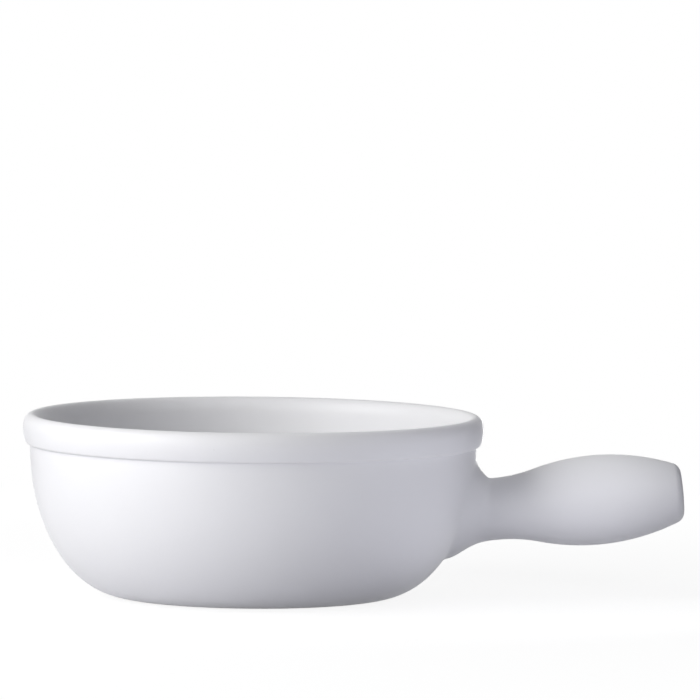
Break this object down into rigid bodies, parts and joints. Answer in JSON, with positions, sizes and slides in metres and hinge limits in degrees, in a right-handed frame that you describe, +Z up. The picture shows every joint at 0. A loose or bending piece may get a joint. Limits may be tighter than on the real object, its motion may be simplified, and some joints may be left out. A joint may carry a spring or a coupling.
{
  "type": "fondue pot",
  "caption": "Round white-glazed stoneware fondue pot with a thick rim band, a flat bare foot ring and a hollow stick handle with a flared root luted to the wall.",
  "frame": {"origin": "centre of the base, on the plane of the foot ring", "axes": "+X along the handle, away from the bowl; +Z up, out of the bowl's mouth; the part is symmetric about the XZ plane"},
  "size_m": [0.3306, 0.23, 0.0904],
  "materials": {
    "white_glaze": "satin white glaze over stoneware, bare clay on the foot ring"
  },
  "bodies": {
    "root": {"bowl": "white_glaze", "slip_seam": "white_glaze", "handle": "white_glaze"}
  },
  "joints": []
}
